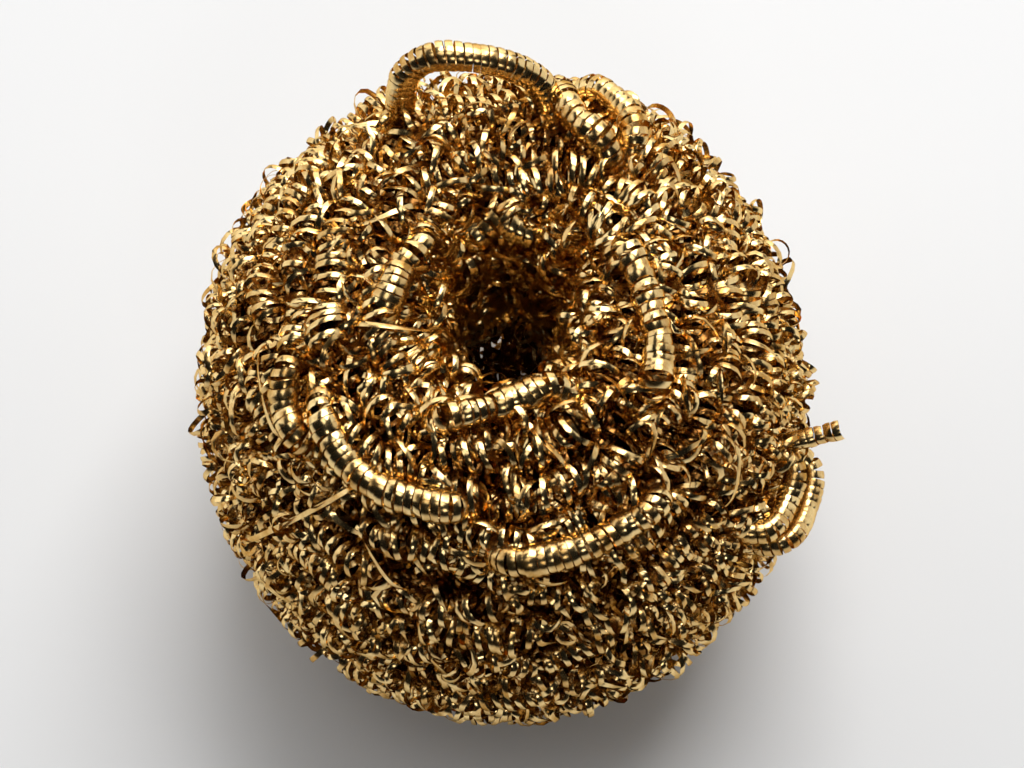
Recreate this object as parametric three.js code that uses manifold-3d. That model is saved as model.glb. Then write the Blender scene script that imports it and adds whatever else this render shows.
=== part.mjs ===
// A brass wire ball for wiping soldering-iron tips: one long strand of curled flat brass ribbon, wound
// round and round into a ball with a dimple in its top. Millimetres, +Z up, origin at the middle of the
// flat spot that the ball rests on, dimple upwards.
import * as THREE from "three";
import { ParametricGeometry } from "three/addons/geometries/ParametricGeometry.js";
import { mergeVertices } from "three/addons/utils/BufferGeometryUtils.js";
import Module from "manifold-3d";

// The ball
const BALL_WIDTH = 58.8;
const BALL_DEPTH = 61.6;
const BALL_HEIGHT = 49.5;
const WAIST_HEIGHT = 24;
const REST_DIAMETER = 19;

// The dimple that the iron's tip goes into: a rounded lip inside the crest, a wall and a round floor
const CREST_DIAMETER = 26;
const WELL_DIAMETER = 15;
const WELL_DEPTH = 22;
const LIP_DROP = 7;
const FLOOR_RISE = 6.5;

// The wound strand as a pile of loose curls: how far its turns and the curls that stand up on them rise
// above the ball's form, and how far the grooves between turns and the gaps between curls drop below it
const TURN_SPACING = 3.7;
const TURN_RISE = 0.2;
const CURL_RISE = 1.0;
const GROOVE_DROP = 0.5;
const GAP_DROP = 2.4;
const CURL_SPACING = 7.2;

// The broad lumps of a ball wound by hand, as slow waves: the number of waves round the ball, how far a wave
// slants round it from the bottom to the dimple, where it starts, and its share of the height
const LUMP_HEIGHT = 0.5;
const LUMP_WAVES = [
  { wavesRound: 2, slant: -6, start: 0.95, share: 1 },
  { wavesRound: 3, slant: 0, start: -1.1, share: 0.5 },
];

// The close-wound lengths of the strand, which look like little springs
const SPRING_DIAMETER = 2.8;
const SPRING_GROOVE = 0.3;
const SPRING_PITCH = 1.9;
const SPRING_SIDES = 7;

// Where the springs run. A point is its degrees round the ball from +X, its millimetres along the surface
// from the crest, negative down the outside and positive into the dimple, and the height of the spring's
// middle above the surface in spring diameters.
const BURIED = -0.9;
const SEATED = 0.36;
const SPRING_ROUTES = {
  backLoop: [
    [118, -11, BURIED],
    [116, -9, 0.6],
    [113, -8, 1.6],
    [107, -7, 2.1],
    [99, -6.5, 2.0],
    [89, -6.5, 1.6],
    [81, -7, 0.9],
    [75, -7.5, BURIED],
  ],
  backBightFirstLeg: [
    [79, -10, BURIED],
    [76, -8, 0.5],
    [69, -5, 0.5],
    [58, -4, 0.4],
    [51, -4.5, BURIED],
  ],
  backBightSecondLeg: [
    [49, -5.5, BURIED],
    [54, -7.5, 0.5],
    [61, -9.2, 0.6],
    [69, -10.8, 0.5],
    [75, -12.5, BURIED],
  ],
  sideLoopOuterLeg: [
    [344, -25, BURIED],
    [343, -27.5, 0.75],
    [336, -28, 1.0],
    [328, -27, 0.9],
    [323, -27.5, BURIED],
  ],
  sideLoopInnerLeg: [
    [342, -22, BURIED],
    [339, -23.8, 0.5],
    [333, -24.6, 0.6],
    [326, -24, 0.5],
    [321, -23, BURIED],
  ],
  strandEnd: [
    [342, -24, BURIED],
    [343, -23, 0.2],
    [346, -22.5, 1.9],
  ],
  frontLeftSpring: [
    [206, -6.5, BURIED],
    [212, -7, SEATED],
    [222, -8, SEATED],
    [233, -8.5, SEATED],
    [245, -8, SEATED],
    [256, -7.5, SEATED],
    [262, -7.5, BURIED],
  ],
  leftSpring: [
    [219, -11.5, BURIED],
    [213, -10.5, SEATED],
    [205, -10, SEATED],
    [198, -8, SEATED],
    [192, -7, BURIED],
  ],
  frontShoulderSpring: [
    [266, -11.5, BURIED],
    [272, -11.5, SEATED],
    [284, -11.2, SEATED],
    [295, -10.8, SEATED],
    [305, -10.5, SEATED],
    [311, -10.5, BURIED],
  ],
  rightCrestSpring: [
    [386, 1, BURIED],
    [378, 1, SEATED],
    [365, 0.5, SEATED],
    [350, -0.5, SEATED],
    [337, -2, SEATED],
    [326, -3, SEATED],
    [318, -4, BURIED],
  ],
  frontLipSpring: [
    [240, -1.5, BURIED],
    [247, -0.5, SEATED],
    [260, 1, SEATED],
    [278, 2, SEATED],
    [294, 2, SEATED],
    [303, 1, BURIED],
  ],
  leftLipSpring: [
    [192, 1, BURIED],
    [184, 2, SEATED],
    [167, 2.7, SEATED],
    [149, 3.5, SEATED],
    [138, 4, BURIED],
  ],
  backLipSpring: [
    [126, 7, BURIED],
    [116, 6.6, SEATED],
    [95, 5.6, SEATED],
    [74, 6.6, SEATED],
    [64, 7, BURIED],
  ],
  backWallSpring: [
    [140, 8.5, BURIED],
    [128, 9, SEATED],
    [108, 9.8, SEATED],
    [86, 10.4, SEATED],
    [76, 10.8, BURIED],
  ],
};

const BRASS = new THREE.MeshStandardMaterial({ color: 0xc79a45, roughness: 0.28, metalness: 1.0 });

const wasm = await Module();
wasm.setup();

// Corners round the ball: two to a curl, and one over, so that each curl lies beside a gap of the turn below
const curlsRound = Math.round((Math.PI * BALL_WIDTH) / CURL_SPACING);
const columns = curlsRound * 2 + 1;

const waistRadius = BALL_WIDTH / 2;
const crestRadius = CREST_DIAMETER / 2;
const wellRadius = WELL_DIAMETER / 2;
const depthShare = BALL_DEPTH / BALL_WIDTH;
const lipHeight = BALL_HEIGHT - LIP_DROP;
const floorHeight = BALL_HEIGHT - WELL_DEPTH;

// How far the round bottom would reach below the surface if the ball's weight hadn't flattened it
const restDip = 1 - Math.sqrt(1 - (REST_DIAMETER / BALL_WIDTH) ** 2);
const restSink = (WAIST_HEIGHT * restDip) / (1 - restDip);

// The ball's meridian, as radius and height: from the middle of its bottom over the waist and the shoulder
// to the crest, then over the lip and down the dimple's wall to the middle of its floor
function meridianPath() {
  const path = new THREE.Path();
  path.moveTo(0, -restSink);
  path.absellipse(0, WAIST_HEIGHT, waistRadius, WAIST_HEIGHT + restSink, -Math.PI / 2, 0);
  const [shoulderWidth, shoulderRise] = [waistRadius - crestRadius, BALL_HEIGHT - WAIST_HEIGHT];
  path.absellipse(crestRadius, WAIST_HEIGHT, shoulderWidth, shoulderRise, 0, Math.PI / 2);
  path.absellipse(crestRadius, lipHeight, crestRadius - wellRadius, LIP_DROP, Math.PI / 2, Math.PI);
  path.lineTo(wellRadius, floorHeight + FLOOR_RISE);
  path.absellipse(0, floorHeight + FLOOR_RISE, wellRadius, FLOOR_RISE, 0, -Math.PI / 2, true);
  return path;
}

// The second of the meridian's pieces ends at the crest
const meridian = meridianPath();
const meridianLength = meridian.getLength();
const [, crestDistance] = meridian.getCurveLengths();

// The height of the lumps at an angle round the ball and a share of the meridian
function lumpHeight(angle, share) {
  const waves = LUMP_WAVES.map((wave) => {
    return wave.share * Math.sin(wave.wavesRound * angle + wave.slant * share + wave.start);
  });
  return LUMP_HEIGHT * waves.reduce((sum, wave) => sum + wave);
}

// The point on the lumpy ball and the outward normal at a distance along the meridian and an angle round the
// ball. The lumps run out towards the ball's axis, where all the angles meet.
function onBall(distance, angle) {
  const share = THREE.MathUtils.clamp(distance / meridianLength, 0, 1);
  const place = meridian.getPoint(share);
  const along = meridian.getTangent(share);
  const [x, y] = [Math.cos(angle), Math.sin(angle)];
  const normal = new THREE.Vector3(along.y * x, (along.y * y) / depthShare, -along.x).normalize();
  const point = new THREE.Vector3(place.x * x, place.x * y * depthShare, place.y);
  point.addScaledVector(normal, lumpHeight(angle, share) * Math.min(1, place.x / wellRadius));
  return { point, normal, radius: place.x };
}

// The height of the curls at a corner of the winding. Rows are in turn the groove beside a turn of strand
// and its back. At every second corner a curl stands up on the back, and between those the groove opens into
// gaps. Towards the middle of the dimple's floor the corners lie closer together, so all of it is flatter.
function curlHeight(row, column, radius) {
  const alongStrand = Math.floor(row / 2) * columns + column;
  const standsUp = alongStrand % 2 === 1;
  const back = standsUp ? CURL_RISE : TURN_RISE;
  const groove = standsUp ? -GROOVE_DROP : -GAP_DROP;
  const height = row % 2 ? back : groove;
  const unevenness = 0.5 + THREE.MathUtils.seededRandom(row * columns + column);
  return height * unevenness * Math.min(1, radius / crestRadius);
}

// The whole pile of curls: one strand wound as a spiral along the meridian, each turn against the last.
// After a full round the spiral has moved on by one turn, which is two rows.
function windingGeometry() {
  const turns = Math.round(meridianLength / TURN_SPACING);
  const spacing = meridianLength / turns;
  const rows = (turns + 1) * 2;
  const corner = (shareRound, shareAlong, target) => {
    const steps = Math.round(shareRound * columns);
    const column = steps % columns;
    const row = Math.round(shareAlong * rows) + (steps === columns ? 2 : 0);
    const angle = (column / columns) * Math.PI * 2;
    const distance = (row / 2 - 1 + column / columns) * spacing;
    const { point, normal, radius } = onBall(distance, angle);
    target.copy(point).addScaledVector(normal, curlHeight(row, column, radius));
  };
  return new ParametricGeometry(corner, columns, rows);
}

// A close-wound length of strand: a straight ridged spring, bent along a curve through the route's points
function springGeometry(route) {
  const points = route.map(([azimuth, fromCrest, lift]) => {
    const { point, normal } = onBall(crestDistance + fromCrest, THREE.MathUtils.degToRad(azimuth));
    return point.addScaledVector(normal, lift * SPRING_DIAMETER);
  });
  const curve = new THREE.CatmullRomCurve3(points, false, "centripetal");
  const rings = Math.round(curve.getLength() / SPRING_PITCH) * 2;
  const ridge = SPRING_DIAMETER / 2;
  const profile = [new THREE.Vector2(0, 0)];
  for (let ring = 0; ring <= rings; ring++) {
    profile.push(new THREE.Vector2(ring % 2 ? ridge : ridge - SPRING_GROOVE, ring));
  }
  profile.push(new THREE.Vector2(0, rings));
  const geometry = new THREE.LatheGeometry(profile, SPRING_SIDES);
  const frames = curve.computeFrenetFrames(rings, false);
  const position = geometry.getAttribute("position");
  for (let i = 0; i < position.count; i++) {
    const ring = Math.round(position.getY(i));
    const bent = curve.getPointAt(ring / rings);
    bent.addScaledVector(frames.binormals[ring], position.getX(i));
    bent.addScaledVector(frames.normals[ring], position.getZ(i));
    position.setXYZ(i, bent.x, bent.y, bent.z);
  }
  return geometry;
}

// A geometry as a solid: corners that share a place are merged, and faces that shrink to a line are dropped
const MERGE_DISTANCE = 1e-4;
function solidOf(geometry) {
  geometry.deleteAttribute("normal");
  geometry.deleteAttribute("uv");
  const merged = mergeVertices(geometry, MERGE_DISTANCE);
  const corners = merged.index.array;
  const kept = [];
  for (let i = 0; i < corners.length; i += 3) {
    const [a, b, c] = [corners[i], corners[i + 1], corners[i + 2]];
    if (a !== b && b !== c && c !== a) kept.push(a, b, c);
  }
  const vertProperties = merged.getAttribute("position").array;
  return new wasm.Manifold(new wasm.Mesh({ numProp: 3, vertProperties, triVerts: new Uint32Array(kept) }));
}

function geometryOf(solid) {
  const mesh = solid.getMesh();
  const geometry = new THREE.BufferGeometry();
  geometry.setAttribute("position", new THREE.BufferAttribute(mesh.vertProperties, mesh.numProp));
  geometry.setIndex(new THREE.BufferAttribute(mesh.triVerts, 1));
  geometry.computeVertexNormals();
  return geometry;
}

// The largest body alone. Springs that cross the grooves seal off little pockets, and without those pockets'
// own surfaces the ball is solid there.
function largestBody(solid) {
  const bodies = solid.decompose();
  return bodies.reduce((largest, body) => (body.volume() > largest.volume() ? body : largest));
}

// What lies below the surface that the ball rests on
function belowRest() {
  const side = 2 * Math.max(BALL_WIDTH, BALL_DEPTH);
  return solidOf(new THREE.BoxGeometry(side, side, side).translate(0, 0, -side / 2));
}

const winding = solidOf(windingGeometry());
const springs = Object.values(SPRING_ROUTES).map((route) => solidOf(springGeometry(route)));
const ball = largestBody(wasm.Manifold.union([winding, ...springs]).subtract(belowRest()));

const wireBall = new THREE.Mesh(geometryOf(ball), BRASS);
wireBall.name = "wire_ball";

const brassCleaningWire = new THREE.Group();
brassCleaningWire.add(wireBall);

export default brassCleaningWire;
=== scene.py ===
"""Looks of the brass cleaning wire: one strand of thin flat brass ribbon, curled along its whole length and
wound into a ball with a dimple in its top. Every length of ribbon is a closed mesh. Sizes of the ball are in
millimetres, and turn into metres where a mesh is made."""

import math
from typing import NamedTuple

import bpy
import numpy as np
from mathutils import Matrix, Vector


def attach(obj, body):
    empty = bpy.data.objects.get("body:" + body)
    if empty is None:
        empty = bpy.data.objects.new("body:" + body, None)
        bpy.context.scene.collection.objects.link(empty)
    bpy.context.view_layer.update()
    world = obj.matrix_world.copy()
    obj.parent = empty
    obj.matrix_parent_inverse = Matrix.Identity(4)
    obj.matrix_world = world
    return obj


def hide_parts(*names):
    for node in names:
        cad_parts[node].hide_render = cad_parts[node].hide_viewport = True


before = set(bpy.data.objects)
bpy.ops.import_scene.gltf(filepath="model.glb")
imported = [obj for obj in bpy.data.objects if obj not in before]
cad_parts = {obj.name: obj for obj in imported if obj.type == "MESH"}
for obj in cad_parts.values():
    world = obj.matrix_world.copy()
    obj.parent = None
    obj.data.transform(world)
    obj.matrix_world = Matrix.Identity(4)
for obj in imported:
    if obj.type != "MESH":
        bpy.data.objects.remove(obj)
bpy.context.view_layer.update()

MM = 0.001
FULL_TURN = 2 * math.pi
SEED = 11

# The ball's form, as in the part's source
BALL_WIDTH = 58.8
BALL_DEPTH = 61.6
BALL_HEIGHT = 49.5
WAIST_HEIGHT = 24.0
REST_DIAMETER = 19.0
CREST_DIAMETER = 26.0
WELL_DIAMETER = 15.0
WELL_DEPTH = 22.0
LIP_DROP = 7.0
FLOOR_RISE = 6.5
LUMP_HEIGHT = 0.5


class LumpWave(NamedTuple):
    """A slow wave of the ball's broad lumps: its number of waves round the ball, how far it slants round
    from the bottom to the dimple, where it starts, and its share of the lumps' height."""

    waves_round: int
    slant: float
    start: float
    share: float


LUMP_WAVES = [LumpWave(2, -6, 0.95, 1), LumpWave(3, 0, -1.1, 0.5)]

# How softly the underside is pressed flat against what the ball rests on
REST_SOFTNESS = 0.25

# How finely the outline is drawn, and steps that count as none
ARC_POINTS = 400
WALL_POINTS = 50
NO_STEP = 1e-9

# The top is what lies within this distance outside the crest, the dimple included. It sets in gradually.
TOP_REACH = 20.0
TOP_BLEND = 10.0

# The ribbon
RIBBON_WIDTH = 0.53
SPRING_RIBBON_WIDTH = 0.72
RIBBON_THICKNESS = 0.05

# Edges sharper than this angle aren't shaded smooth. In the texture map each face's cell has a margin.
SHARP_EDGE = math.radians(50)
CELL_MARGIN = 0.08


class Layer(NamedTuple):
    """One layer of the wound strand: about how far apart its turns round the ball are, how far round the
    first one starts, its depth below the surface and how much deeper it lies at the top, how far it wanders
    to both sides, the rings of corners in each curl, and the curls' radius and pitch."""

    spacing: float
    start: float
    depth: float
    top_sink: float
    wander: float
    rings_per_curl: int
    curl_radius: float
    tight_pitch: float
    loose_pitch: float


LAYERS = {
    "outer_winding": Layer(3.7, 0.5, 0.75, 0.0, 1.7, 13, 1.35, 0.85, 2.6),
    "crossing_winding": Layer(6.0, 0.0, 0.9, 1.8, 2.4, 13, 1.3, 0.9, 2.8),
    "groove_winding": Layer(3.7, 0.0, 2.0, 0.8, 1.7, 11, 1.15, 1.1, 2.6),
    "middle_winding": Layer(2.6, 0.0, 3.6, 0.0, 1.1, 10, 1.25, 1.0, 2.1),
    "inner_winding": Layer(3.0, 0.0, 6.0, 0.0, 1.2, 9, 1.5, 1.2, 2.4),
}

# Layers at least this deep are tarnished, and darkened further with painted shade for the shade between the
# windings
TARNISH_AND_SHADE_DEPTH = 1.5

# A layer's path: the step between its points, the tightest turn that it makes about the ball's axis, and how
# far from the middle of the dimple's floor it ends
PATH_STEP = 0.12
TIGHTEST_TURN = 1.0
OPEN_FLOOR = 5.0


class Wobble(NamedTuple):
    """How a strand is uneven along its length: the length of the waves, their height where its curls are
    closed up, and how much more that is where they are loose."""

    wavelength: float
    tight: float
    loose: float = 0.0


# The mess of the wound layers. Wander is a share of the layer's own, rise is in millimetres, slack goes from
# closed up at 0 to loose at 1, thickness and radius are shares of the curls' radius, and a turn's lean along
# the strand is a share of its radius. Lean phase and twist are in radians.
LONG_WANDER = Wobble(6.0, 1.0)
SHORT_WANDER = Wobble(2.4, 0.5)
RISE = Wobble(3.5, 0.7)
SLACK = Wobble(4.0, 0.9)
THICKNESS = Wobble(7.0, 0.12)
RADIUS = Wobble(1.4, 0.18, 0.3)
LEAN = Wobble(1.5, 0.2, 1.0)
LEAN_PHASE = Wobble(6.0, 6.0)
TWIST = Wobble(0.9, 0.25, 0.6)
USUAL_SLACK = 0.65
LEAST_SLACK = 0.1
LEAST_LEAN = 0.1

# What is less or more of these at the top than on the sides
TOP_WANDER_LOSS = 0.5
TOP_SLACK_LOSS = 0.3
TOP_PITCH_GAIN = 0.15
TOP_THICKNESS_GAIN = 0.25


class CurlSize(NamedTuple):
    """The limits of single curls' radius, and of the height of their middles above the surface."""

    smallest: float
    largest: float
    lowest: float
    highest: float


# Single curls all over the ball. Places are shares of the way from its bottom to the dimple's floor.
LOOSE_CURLS = 1700
LOOSE_CURL_PLACES = (0.1, 0.86)
SIDE_CURLS = CurlSize(0.6, 1.3, -0.9, 0.4)
TOP_CURLS = CurlSize(1.2, 2.4, -0.9, -0.1)

# Curls that fly away from the ball's back: distance outside the crest, and degrees round from +X
FLY_AWAY_CURLS = 140
FLY_AWAY_PLACES = (14, 30)
FLY_AWAY_ANGLES = (-30, 210)
FLY_AWAY_SIZE = CurlSize(0.9, 1.8, 0.1, 1.2)

# Curls in the dimple: distance from the middle of its floor, and degrees round with their spread
WELL_CURLS = 560
WELL_PLACES = (6, 26)
WELL_ANGLE = 90
WELL_ANGLE_SPREAD = 80
WELL_SIZE = CurlSize(0.9, 2.1, -0.5, 1.9)

# A single curl: its rings of corners, its part of a full turn, how far it tips and twists in radians, how
# far its ends lie apart sideways, and how much lower a wider one sits
CURL_RINGS = 13
CURL_TURN = (0.5, 1.2)
CURL_TIP = 0.9
CURL_TWIST = 0.6
CURL_DRIFT = 1.2
CURL_SINK = 0.7

# Ribbon that is pulled straight between curls, with points like those of the close-wound lengths but with
# heights in millimetres
STRAIGHT_RIBBONS = [
    [(192, -1.5, -0.8), (196, -0.5, 1.2), (201, 1, 2.0), (206, 2.5, 2.4), (209, 4, 2.6)],
    [(187, -10.0, -0.8), (190, -10.9, 0.8), (200, -12, 1.1), (208, -12.7, 0.8), (210, -13.2, -0.8)],
    [(210, -30.5, -0.8), (212, -29.2, 0.6), (230, -10.9, 0.9), (231, -9.5, -0.6)],
    [(236, -14.5, -0.8), (240, -14.5, 0.7), (247, -16.5, 0.9), (251, -18.0, -0.8)],
    [(318, -17.5, -0.8), (322, -16.5, 0.7), (329, -13.5, 0.9), (333, -12.0, -0.8)],
]

# A straight ribbon's rings of corners, and how far it tips and twists in radians
STRAIGHT_RINGS = 24
STRAIGHT_TIP = 0.4
STRAIGHT_TWIST = 0.3

# The close-wound lengths, which look like little springs, and how uneven their turns are
SPRING_DIAMETER = 2.8
SPRING_PITCH = 0.75
SPRING_SLACK = 0.06
SPRING_PATH_POINTS = 600
SPRING_RINGS_PER_TURN = 14
SPRING_PITCH_WOBBLE = Wobble(2.2, 0.25)
SPRING_RADIUS_WOBBLE = Wobble(0.9, 0.11)
SPRING_LEAN = Wobble(1.6, 0.3)
SPRING_TWIST = Wobble(0.7, 0.3)

# Where the close-wound lengths run. A point is its degrees round the ball from +X, its millimetres along the
# surface from the crest, negative down the outside and positive into the dimple, and the height of the
# spring's middle above the surface in spring diameters.
BURIED = -0.9
SEATED = 0.36
SPRING_ROUTES = {
    "back_loop": [
        (118, -11, BURIED),
        (116, -9, 0.6),
        (113, -8, 1.6),
        (107, -7, 2.1),
        (99, -6.5, 2.0),
        (89, -6.5, 1.6),
        (81, -7, 0.9),
        (75, -7.5, BURIED),
    ],
    "back_bight_first_leg": [
        (79, -10, BURIED),
        (76, -8, 0.5),
        (69, -5, 0.5),
        (58, -4, 0.4),
        (51, -4.5, BURIED),
    ],
    "back_bight_second_leg": [
        (49, -5.5, BURIED),
        (54, -7.5, 0.5),
        (61, -9.2, 0.6),
        (69, -10.8, 0.5),
        (75, -12.5, BURIED),
    ],
    "side_loop_outer_leg": [
        (344, -25, BURIED),
        (343, -27.5, 0.75),
        (336, -28, 1.0),
        (328, -27, 0.9),
        (323, -27.5, BURIED),
    ],
    "side_loop_inner_leg": [
        (342, -22, BURIED),
        (339, -23.8, 0.5),
        (333, -24.6, 0.6),
        (326, -24, 0.5),
        (321, -23, BURIED),
    ],
    "strand_end": [
        (342, -24, BURIED),
        (343, -23, 0.2),
        (346, -22.5, 1.9),
    ],
    "front_left_spring": [
        (206, -6.5, BURIED),
        (212, -7, SEATED),
        (222, -8, SEATED),
        (233, -8.5, SEATED),
        (245, -8, SEATED),
        (256, -7.5, SEATED),
        (262, -7.5, BURIED),
    ],
    "left_spring": [
        (219, -11.5, BURIED),
        (213, -10.5, SEATED),
        (205, -10, SEATED),
        (198, -8, SEATED),
        (192, -7, BURIED),
    ],
    "front_shoulder_spring": [
        (266, -11.5, BURIED),
        (272, -11.5, SEATED),
        (284, -11.2, SEATED),
        (295, -10.8, SEATED),
        (305, -10.5, SEATED),
        (311, -10.5, BURIED),
    ],
    "right_crest_spring": [
        (386, 1, BURIED),
        (378, 1, SEATED),
        (365, 0.5, SEATED),
        (350, -0.5, SEATED),
        (337, -2, SEATED),
        (326, -3, SEATED),
        (318, -4, BURIED),
    ],
    "front_lip_spring": [
        (240, -1.5, BURIED),
        (247, -0.5, SEATED),
        (260, 1, SEATED),
        (278, 2, SEATED),
        (294, 2, SEATED),
        (303, 1, BURIED),
    ],
    "left_lip_spring": [
        (192, 1, BURIED),
        (184, 2, SEATED),
        (167, 2.7, SEATED),
        (149, 3.5, SEATED),
        (138, 4, BURIED),
    ],
    "back_lip_spring": [
        (126, 7, BURIED),
        (116, 6.6, SEATED),
        (95, 5.6, SEATED),
        (74, 6.6, SEATED),
        (64, 7, BURIED),
    ],
    "back_wall_spring": [
        (140, 8.5, BURIED),
        (128, 9, SEATED),
        (108, 9.8, SEATED),
        (86, 10.4, SEATED),
        (76, 10.8, BURIED),
    ],
}

# Close-wound lengths whose turns are more or less uneven than those of the others, with their share of it
UNEVENNESS = {
    "back_loop": 0.4,
    "side_loop_outer_leg": 0.5,
    "side_loop_inner_leg": 0.5,
    "strand_end": 0.7,
    "front_shoulder_spring": 1.2,
    "front_lip_spring": 1.4,
    "back_lip_spring": 1.5,
    "left_lip_spring": 1.6,
    "right_crest_spring": 1.3,
}

# Close-wound lengths that are thinner than the others, with their share of the diameter
THINNER = {"strand_end": 0.65, "side_loop_outer_leg": 0.8, "side_loop_inner_leg": 0.8}

# Bright brass and tarnished, painted-shade brass, each with the colours of its dull patches and of what lies
# between them
BRASS_COLOURS = [(0.52, 0.27, 0.065, 1), (0.93, 0.68, 0.31, 1)]
# The tarnished colours are this dark as painted shade, standing in for the shade that falls between the
# windings
TARNISH_AND_SHADE_COLOURS = [(0.12, 0.04, 0.008, 1), (0.34, 0.17, 0.045, 1)]
COLOUR_STOPS = (0.32, 0.62)
EDGE_TINT = (0.95, 0.75, 0.45, 1)
PATCHES = {"Scale": 420.0, "Detail": 4.0, "Roughness": 0.6}
GLOSS = {"From Min": 0.3, "From Max": 0.7, "To Min": 0.26, "To Max": 0.145}

# The camera, from the photo: straight on from -Y, looking down
CAMERA_ELEVATION = math.radians(66)
CAMERA_DISTANCE = 350.0
PIXELS_PER_MM = 10.2
IMAGE_WIDTH = 1024
IMAGE_HEIGHT = 768
BALL_MIDDLE_PIXEL = (505, 402)
BALL_MIDDLE = Vector((0, 0, WAIST_HEIGHT))
SENSOR_WIDTH = 36.0


class Lamp(NamedTuple):
    """A soft square lamp: its place and side in metres, and its power in watts."""

    place: tuple
    side: float
    power: float


# The studio, in metres: a pale floor, lamps mostly above and behind the ball, and dim surroundings
FLOOR_SIDE = 6.0
FLOOR_COLOUR = (0.86, 0.86, 0.86, 1)
FLOOR_ROUGHNESS = 0.9
SURROUNDINGS_COLOUR = (0.008, 0.008, 0.008, 1)
LAMPS = {
    "key": Lamp((0.12, 0.35, 0.67), 0.5, 4.3),
    "top": Lamp((-0.05, -0.06, 0.78), 0.3, 0.5),
    "right": Lamp((0.68, 0.3, 0.3), 0.8, 1.6),
    "left": Lamp((-0.68, 0.3, 0.3), 0.8, 2.2),
    "back": Lamp((0, 0.8, 0.3), 0.9, 4.3),
    "front": Lamp((0.1, -0.5, 0.5), 0.15, 0.25),
}


def unit(vectors):
    """Each vector at length 1."""
    return vectors / np.linalg.norm(vectors, axis=-1, keepdims=True)


def ellipse_arc(centre, radii, start, end):
    """Points of an ellipse from a start to an end angle, in degrees."""
    angle = np.radians(np.linspace(start, end, ARC_POINTS))
    return np.stack([centre[0] + radii[0] * np.cos(angle), centre[1] + radii[1] * np.sin(angle)], axis=1)


class Meridian:
    """The ball's outline as radius and height: from the middle of the bottom over the waist to the crest,
    then down the dimple's wall to the middle of its floor."""

    def __init__(self):
        waist, crest, well = BALL_WIDTH / 2, CREST_DIAMETER / 2, WELL_DIAMETER / 2
        dip = 1 - math.sqrt(1 - (REST_DIAMETER / BALL_WIDTH) ** 2)
        sink = WAIST_HEIGHT * dip / (1 - dip)
        wall_foot = BALL_HEIGHT - WELL_DEPTH + FLOOR_RISE
        lip = BALL_HEIGHT - LIP_DROP
        outside = [
            ellipse_arc((0, WAIST_HEIGHT), (waist, WAIST_HEIGHT + sink), -90, 0),
            ellipse_arc((crest, WAIST_HEIGHT), (waist - crest, BALL_HEIGHT - WAIST_HEIGHT), 0, 90),
        ]
        inside = [
            ellipse_arc((crest, lip), (crest - well, LIP_DROP), 90, 180),
            np.linspace((well, lip), (well, wall_foot), WALL_POINTS),
            ellipse_arc((0, wall_foot), (well, FLOOR_RISE), 0, -90),
        ]
        outline = np.concatenate(outside + inside)
        steps = np.linalg.norm(np.diff(outline, axis=0), axis=1)
        outline = outline[np.concatenate([[True], steps > NO_STEP])]
        self.distance = along_path(outline)
        self.radius, self.height = outline.T
        self.length = self.distance[-1]
        self.crest = self.distance[np.argmax(self.height)]
        along = unit(np.gradient(outline, self.distance, axis=0))
        self.along_radius, self.along_height = along.T

    def place(self, distance, angle):
        """The points and outward normals at distances along the outline and angles round the ball."""
        depth_share = BALL_DEPTH / BALL_WIDTH
        radius = np.interp(distance, self.distance, self.radius)
        height = np.interp(distance, self.distance, self.height)
        along_radius = np.interp(distance, self.distance, self.along_radius)
        along_height = np.interp(distance, self.distance, self.along_height)
        across, back = np.cos(angle), np.sin(angle)
        points = np.stack([radius * across, radius * back * depth_share, height], axis=-1)
        normals = np.stack(
            [along_height * across, along_height * back / depth_share, -along_radius],
            axis=-1,
        )
        normals = unit(normals)
        lumps = self.lump_height(distance, angle) * np.minimum(1, radius / (WELL_DIAMETER / 2))
        return points + lumps[:, None] * normals, normals

    def lump_height(self, distance, angle):
        """The broad lumps of a ball wound by hand."""
        waves = [
            lump.share * np.sin(lump.waves_round * angle + lump.slant * distance / self.length + lump.start)
            for lump in LUMP_WAVES
        ]
        return LUMP_HEIGHT * sum(waves)

    def near_top(self, distance):
        """From 0 on the ball's sides to 1 at its top."""
        share = np.clip((distance - self.crest + TOP_REACH) / TOP_BLEND, 0, 1)
        return share * share * (3 - 2 * share)

    def route(self, points, height_unit, count):
        """A smooth path over the ball through a route's points, with the normals along it. The points'
        heights are in the given unit."""
        azimuth, from_crest, lift = np.array(points, float).T
        places, normals = self.place(self.crest + from_crest, np.radians(azimuth))
        path = spline(places + (lift * height_unit)[:, None] * normals, count)
        return path, unit(at(np.linspace(0, 1, count), np.linspace(0, 1, len(points)), normals))


def wave(rng, along, wavelength):
    """A smooth random wave from about -1 to 1."""
    knots = rng.uniform(-1, 1, int(along.max() / wavelength) + 5)
    place = along / wavelength + 1
    whole = place.astype(int)
    part = place - whole
    a, b, c, d = (knots[whole + shift] for shift in (-1, 0, 1, 2))
    cubic = 3 * b - a - 3 * c + d
    square = 2 * a - 5 * b + 4 * c - d
    return 0.5 * (2 * b + (c - a) * part + square * part**2 + cubic * part**3)


def uneven(rng, along, wobble, slack=0.0):
    """A wobble along a strand."""
    return (wobble.tight + wobble.loose * slack) * wave(rng, along, wobble.wavelength)


def along_path(points):
    """The distance along a path at each of its points."""
    steps = np.linalg.norm(np.diff(points, axis=0), axis=1)
    return np.concatenate([[0], np.cumsum(steps)])


def at(positions, along, values):
    """Vectors along a path, read between its points."""
    return np.stack([np.interp(positions, along, column) for column in values.T], axis=1)


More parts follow.
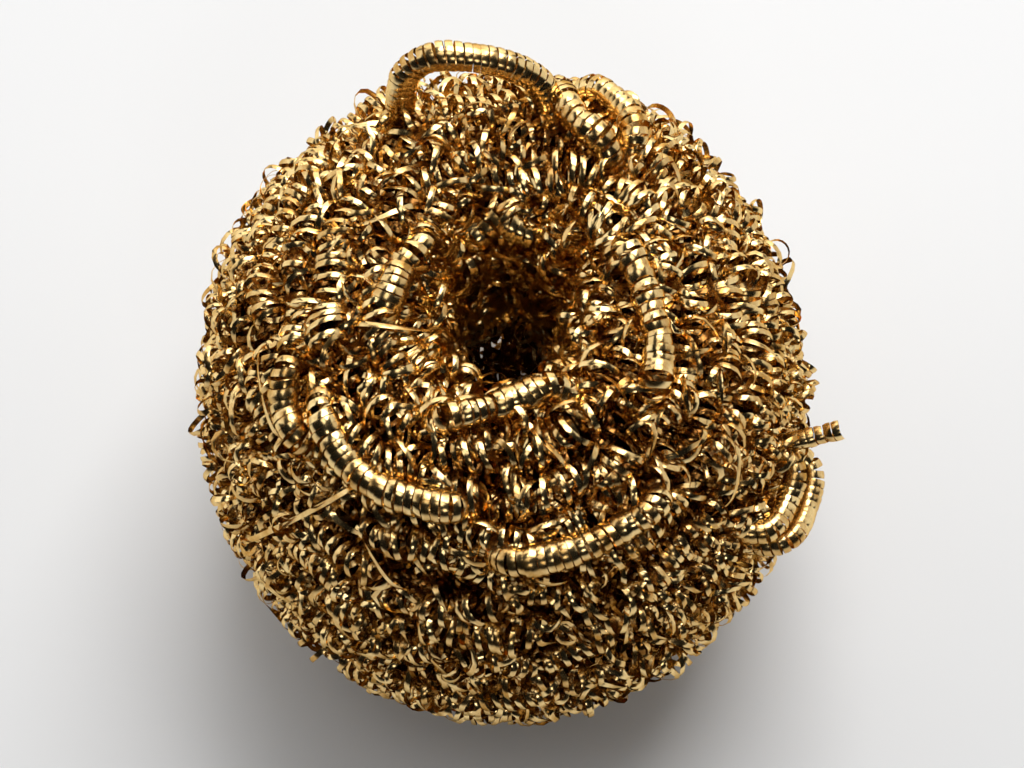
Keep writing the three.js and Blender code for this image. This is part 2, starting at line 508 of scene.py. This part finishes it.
def spline(points, count):
    """A smooth path through points, as a centripetal curve."""
    points = np.array(points)
    padded = np.concatenate([[2 * points[0] - points[1]], points, [2 * points[-1] - points[-2]]])
    knots = np.concatenate([[0], np.cumsum(np.linalg.norm(np.diff(padded, axis=0), axis=1) ** 0.5)])
    wanted = np.linspace(knots[1], knots[-2], count)
    span = np.clip(np.searchsorted(knots, wanted, side="right") - 1, 1, len(padded) - 3)
    t = wanted[:, None]
    k = [knots[span + shift][:, None] for shift in (-1, 0, 1, 2)]
    p = [padded[span + shift] for shift in (-1, 0, 1, 2)]
    first = [((k[i + 1] - t) * p[i] + (t - k[i]) * p[i + 1]) / (k[i + 1] - k[i]) for i in range(3)]
    second = [((k[i + 2] - t) * first[i] + (t - k[i]) * first[i + 1]) / (k[i + 2] - k[i]) for i in range(2)]
    return ((k[2] - t) * second[0] + (t - k[1]) * second[1]) / (k[2] - k[1])


meridian = Meridian()


def ribbon_frame(middle, outward, twist):
    """A ribbon's middle line with its width and outward directions, twisted about its own length."""
    ahead = unit(np.gradient(middle, axis=0))
    wide = unit(np.cross(ahead, outward))
    face = np.cross(wide, ahead)
    turn = np.broadcast_to(twist, len(middle))[:, None]
    turned_wide = np.cos(turn) * wide + np.sin(turn) * face
    turned_face = np.cos(turn) * face - np.sin(turn) * wide
    return middle, turned_wide, turned_face


def curled(points, normals, pitch, radius, lean, lean_phase, twist, rings_per_turn):
    """A ribbon curled round a path. All values are given at the path's points: pitch and radius of the
    curls, how far each turn leans along the path and towards where, and how far the ribbon is twisted out of
    the curl's cylinder."""
    along = along_path(points)
    turns = np.concatenate([[0], np.cumsum(np.diff(along) / (0.5 * (pitch[1:] + pitch[:-1])))])
    ring_turns = np.arange(0, turns[-1], 1 / rings_per_turn)
    ring_along = np.interp(ring_turns, turns, along)
    axis = at(ring_along, along, points)
    ahead = unit(np.gradient(axis, axis=0))
    up = at(ring_along, along, normals)
    up = unit(up - ahead * np.sum(up * ahead, axis=1, keepdims=True))
    side = np.cross(ahead, up)
    angle = FULL_TURN * ring_turns
    reach = np.interp(ring_along, along, radius)
    outward = np.cos(angle)[:, None] * up + np.sin(angle)[:, None] * side
    leaning = np.interp(ring_along, along, lean) * np.cos(angle + np.interp(ring_along, along, lean_phase))
    middle = axis + reach[:, None] * (outward + leaning[:, None] * ahead)
    return ribbon_frame(middle, outward, np.interp(ring_along, along, twist))


def wound_path(rng, layer):
    """A layer's path as a spiral along the outline, below the surface, that wanders to both sides. Returns
    the distance along the strand, the points, the normals and the place along the outline."""
    spacing = meridian.length / round(meridian.length / layer.spacing)
    circumference = FULL_TURN * np.maximum(meridian.radius, TIGHTEST_TURN)
    strand = np.concatenate([[0], np.cumsum(np.diff(meridian.distance) * circumference[1:] / spacing)])
    end = np.interp(meridian.length - OPEN_FLOOR, meridian.distance, strand)
    along = np.arange(0, end, PATH_STEP)
    distance = np.interp(along, strand, meridian.distance)
    angle = FULL_TURN * (distance / spacing + layer.start)
    top = meridian.near_top(distance)
    wander = layer.wander * (1 - TOP_WANDER_LOSS * top)
    sideways = wander * (uneven(rng, along, LONG_WANDER) + uneven(rng, along, SHORT_WANDER))
    lift = uneven(rng, along, RISE) - layer.depth - layer.top_sink * top
    points, normals = meridian.place(np.clip(distance + sideways, 0, meridian.length), angle)
    return along, points + lift[:, None] * normals, normals, distance


def winding(rng, layer):
    """One layer of the ball: a strand that is wound round it, here closed up like a spring and there loose.
    At the top its curls are wider and closer."""
    along, points, normals, distance = wound_path(rng, layer)
    top = meridian.near_top(distance)
    slack = np.clip(USUAL_SLACK - TOP_SLACK_LOSS * top + uneven(rng, along, SLACK), LEAST_SLACK, 1)
    pitch = layer.tight_pitch + (layer.loose_pitch - layer.tight_pitch) * slack
    pitch = pitch * (1 + TOP_PITCH_GAIN * top)
    thickness = layer.curl_radius * (1 + TOP_THICKNESS_GAIN * top + uneven(rng, along, THICKNESS))
    radius = thickness * (1 + uneven(rng, along, RADIUS, slack))
    lean = LEAST_LEAN + np.abs(uneven(rng, along, LEAN, slack))
    lean_phase = uneven(rng, along, LEAN_PHASE)
    twist = uneven(rng, along, TWIST, slack)
    return curled(points, normals, pitch, radius, lean, lean_phase, twist, layer.rings_per_curl)


def spring(rng, name):
    """A close-wound length along its route."""
    path, normals = meridian.route(SPRING_ROUTES[name], SPRING_DIAMETER, SPRING_PATH_POINTS)
    unevenness = UNEVENNESS.get(name, 1)
    thickness = THINNER.get(name, 1) * SPRING_DIAMETER / 2
    along = along_path(path)
    pitch = SPRING_PITCH * (1 + unevenness * (SPRING_SLACK + uneven(rng, along, SPRING_PITCH_WOBBLE)))
    radius = thickness * (1 + unevenness * uneven(rng, along, SPRING_RADIUS_WOBBLE))
    lean = unevenness * uneven(rng, along, SPRING_LEAN)
    twist = unevenness * uneven(rng, along, SPRING_TWIST)
    return curled(path, normals, pitch, radius, lean, np.zeros(len(path)), twist, SPRING_RINGS_PER_TURN)


def straight_ribbon(rng, route):
    """A length of ribbon that is pulled straight over the ball."""
    path, normals = meridian.route(route, 1, STRAIGHT_RINGS)
    twist = STRAIGHT_TWIST * np.linspace(-1, 1, STRAIGHT_RINGS)
    return ribbon_frame(path, normals, rng.uniform(-STRAIGHT_TIP, STRAIGHT_TIP) + twist)


def single_curl(rng, distance, angle, size):
    """A single curl that stands out of the ball."""
    foot, normal = meridian.place(np.array([distance]), np.array([angle]))
    normal = normal[0]
    sideways = rng.normal(size=3)
    sideways = unit(sideways - normal * sideways.dot(normal))
    cross = np.cross(normal, sideways)
    tip = rng.uniform(-CURL_TIP, CURL_TIP)
    upward = math.cos(tip) * normal + math.sin(tip) * cross
    radius = rng.uniform(size.smallest, size.largest)
    span = rng.uniform(*CURL_TURN) * FULL_TURN
    phase = np.linspace(-span / 2, span / 2, CURL_RINGS)
    rise = rng.uniform(size.lowest, size.highest) - CURL_SINK * (radius - size.smallest)
    drift = rng.uniform(-CURL_DRIFT, CURL_DRIFT) * (phase / span)
    outward = np.cos(phase)[:, None] * upward + np.sin(phase)[:, None] * sideways
    middle = foot[0] + rise * normal + radius * outward + drift[:, None] * np.cross(upward, sideways)
    return ribbon_frame(middle, outward, rng.uniform(-CURL_TWIST, CURL_TWIST))


def loose_curls(rng):
    """Single curls all over the ball, wider ones at its top, and some that fly away from its back."""
    curls = []
    for _ in range(LOOSE_CURLS):
        distance = rng.uniform(*LOOSE_CURL_PLACES) * meridian.length
        top = meridian.near_top(distance)
        size = CurlSize(*(side + (high - side) * top for side, high in zip(SIDE_CURLS, TOP_CURLS)))
        curls.append(single_curl(rng, distance, rng.uniform(0, FULL_TURN), size))
    for _ in range(FLY_AWAY_CURLS):
        distance = meridian.crest - rng.uniform(*FLY_AWAY_PLACES)
        angle = math.radians(rng.uniform(*FLY_AWAY_ANGLES))
        curls.append(single_curl(rng, distance, angle, FLY_AWAY_SIZE))
    return curls


def well_curls(rng):
    """Wide single curls that stand out of the dimple's wall and floor, most of them at its back."""
    curls = []
    for _ in range(WELL_CURLS):
        distance = meridian.length - rng.uniform(*WELL_PLACES)
        angle = math.radians(rng.normal(WELL_ANGLE, WELL_ANGLE_SPREAD))
        curls.append(single_curl(rng, distance, angle, WELL_SIZE))
    return curls


def pressed_flat(height):
    """Heights with the ball's underside pressed flat against what it rests on."""
    return 0.5 * (height + np.sqrt(height**2 + REST_SOFTNESS**2))


def ribbon_mesh(name, ribbons, width):
    """A mesh of closed ribbons: two outer faces that meet in a low smooth ridge, and a flat inner face."""
    corners, quads, caps = [], [], []
    first = 0
    for middle, wide, face in ribbons:
        count = len(middle)
        half = wide * width / 2
        corners.append(np.stack([middle - half, middle + face * RIBBON_THICKNESS, middle + half], axis=1))
        ring = first + 3 * np.arange(count - 1)
        for side in range(3):
            here, there = ring + side, ring + (side + 1) % 3
            quads.append(np.stack([here, here + 3, there + 3, there], axis=1))
        last = first + 3 * (count - 1)
        caps += [(first, first + 1, first + 2), (last, last + 2, last + 1)]
        first += 3 * count
    corners = np.concatenate(corners).reshape(-1, 3)
    corners[:, 2] = pressed_flat(corners[:, 2])
    quads = np.concatenate(quads)
    caps = np.array(caps)
    mesh = bpy.data.meshes.new(name)
    mesh.vertices.add(len(corners))
    mesh.vertices.foreach_set("co", (corners * MM).astype(np.float32).ravel())
    mesh.loops.add(quads.size + caps.size)
    mesh.loops.foreach_set("vertex_index", np.concatenate([quads.ravel(), caps.ravel()]).astype(np.int32))
    mesh.polygons.add(len(quads) + len(caps))
    starts = np.concatenate([4 * np.arange(len(quads)), quads.size + 3 * np.arange(len(caps))])
    mesh.polygons.foreach_set("loop_start", starts.astype(np.int32))
    mesh.update(calc_edges=True)
    add_cells(mesh, len(quads), len(caps))
    mesh.shade_smooth()
    mesh.set_sharp_from_angle(angle=SHARP_EDGE)
    return mesh


def add_cells(mesh, quad_count, cap_count):
    """A texture map in which every face has a cell of its own."""
    cells = quad_count + cap_count
    columns = math.ceil(math.sqrt(cells))
    cell = np.arange(cells)
    corner = np.stack([cell % columns, cell // columns], axis=1) / columns
    square = np.array([(0, 0), (1, 0), (1, 1), (0, 1)]) * (1 - 2 * CELL_MARGIN) + CELL_MARGIN
    quad_uv = corner[:quad_count, None] + square[None] / columns
    cap_uv = corner[quad_count:, None] + square[None, :3] / columns
    uv = np.concatenate([quad_uv.reshape(-1, 2), cap_uv.reshape(-1, 2)])
    layer = mesh.uv_layers.new(name="OFBake")
    layer.data.foreach_set("uv", uv.astype(np.float32).ravel())


def add_piece(name, ribbons, material, width=RIBBON_WIDTH):
    """A visible piece of the ball, which stands for the solid one."""
    mesh = ribbon_mesh(name, ribbons, width)
    mesh.materials.append(material)
    piece = bpy.data.objects.new(name, mesh)
    bpy.context.scene.collection.objects.link(piece)
    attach(piece, "root")
    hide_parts("wire_ball")


def add_node(tree, kind, sockets):
    """A shader node with some of its inputs set."""
    node = tree.nodes.new(kind)
    for socket, value in sockets.items():
        node.inputs[socket].default_value = value
    return node


def brass_material(name, colours):
    """Rolled brass with patches that are duller and less glossy."""
    material = bpy.data.materials.new(name)
    material.use_nodes = True
    tree = material.node_tree
    tree.nodes.clear()
    out = tree.nodes.new("ShaderNodeOutputMaterial")
    shader = add_node(tree, "ShaderNodeBsdfPrincipled", {"Metallic": 1.0, "Specular Tint": EDGE_TINT})
    place = tree.nodes.new("ShaderNodeTexCoord")
    patches = add_node(tree, "ShaderNodeTexNoise", PATCHES)
    gloss = add_node(tree, "ShaderNodeMapRange", GLOSS)
    ramp = tree.nodes.new("ShaderNodeValToRGB")
    for stop, position, colour in zip(ramp.color_ramp.elements, COLOUR_STOPS, colours):
        stop.position = position
        stop.color = colour
    link = tree.links.new
    link(place.outputs["Object"], patches.inputs["Vector"])
    link(patches.outputs["Fac"], ramp.inputs["Fac"])
    link(ramp.outputs["Color"], shader.inputs["Base Color"])
    link(patches.outputs["Fac"], gloss.inputs["Value"])
    link(gloss.outputs["Result"], shader.inputs["Roughness"])
    link(shader.outputs["BSDF"], out.inputs["Surface"])
    return material


def add_ball():
    """All the ribbon of the ball."""
    rng = np.random.default_rng(SEED)
    brass = brass_material("brass_ribbon", BRASS_COLOURS)
    # The deep layers get tarnished brass darkened with painted shade, for the shade between the windings
    tarnished_and_shaded = brass_material("tarnished_and_shaded_ribbon", TARNISH_AND_SHADE_COLOURS)
    for name, layer in LAYERS.items():
        add_piece(name, [winding(rng, layer)], brass if layer.depth < TARNISH_AND_SHADE_DEPTH else tarnished_and_shaded)
    springs = [spring(rng, name) for name in SPRING_ROUTES]
    straight_ribbons = [straight_ribbon(rng, route) for route in STRAIGHT_RIBBONS]
    add_piece("springs", springs, brass, SPRING_RIBBON_WIDTH)
    add_piece("loose_curls", loose_curls(rng), brass)
    add_piece("well_curls", well_curls(rng) + straight_ribbons, brass)


def add_floor():
    """A plain pale floor, matt."""
    material = bpy.data.materials.new("floor_paint")
    material.use_nodes = True
    shader = material.node_tree.nodes["Principled BSDF"]
    shader.inputs["Base Color"].default_value = FLOOR_COLOUR
    shader.inputs["Roughness"].default_value = FLOOR_ROUGHNESS
    bpy.ops.mesh.primitive_plane_add(size=FLOOR_SIDE)
    floor = bpy.context.object
    floor.name = "floor"
    floor.data.materials.append(material)


def add_lights():
    """The lamps, aimed at the ball, and the surroundings."""
    for name, lamp in LAMPS.items():
        data = bpy.data.lights.new(name, "AREA")
        data.size = lamp.side
        data.energy = lamp.power
        light = bpy.data.objects.new(name, data)
        light.location = lamp.place
        light.rotation_euler = (Vector(lamp.place) - BALL_MIDDLE * MM).to_track_quat("Z", "Y").to_euler()
        light.visible_camera = False
        bpy.context.scene.collection.objects.link(light)
    world = bpy.data.worlds.new("surroundings")
    world.use_nodes = True
    world.node_tree.nodes["Background"].inputs["Color"].default_value = SURROUNDINGS_COLOUR
    bpy.context.scene.world = world


def add_camera():
    """The photo's view."""
    back = Vector((0, -math.cos(CAMERA_ELEVATION), math.sin(CAMERA_ELEVATION)))
    up = Vector((0, math.sin(CAMERA_ELEVATION), math.cos(CAMERA_ELEVATION)))
    right = Vector((1, 0, 0))
    off_x = (IMAGE_WIDTH / 2 - BALL_MIDDLE_PIXEL[0]) / PIXELS_PER_MM
    off_y = (BALL_MIDDLE_PIXEL[1] - IMAGE_HEIGHT / 2) / PIXELS_PER_MM
    aim = BALL_MIDDLE + right * off_x + up * off_y
    data = bpy.data.cameras.new("camera")
    data.sensor_width = SENSOR_WIDTH
    data.lens = SENSOR_WIDTH * CAMERA_DISTANCE * PIXELS_PER_MM / IMAGE_WIDTH
    camera = bpy.data.objects.new("camera", data)
    camera.location = (aim + back * CAMERA_DISTANCE) * MM
    camera.rotation_euler = back.to_track_quat("Z", "Y").to_euler()
    bpy.context.scene.collection.objects.link(camera)
    bpy.context.scene.camera = camera


add_ball()
add_floor()
add_lights()
add_camera()
bpy.context.scene.view_settings.view_transform = "Standard"
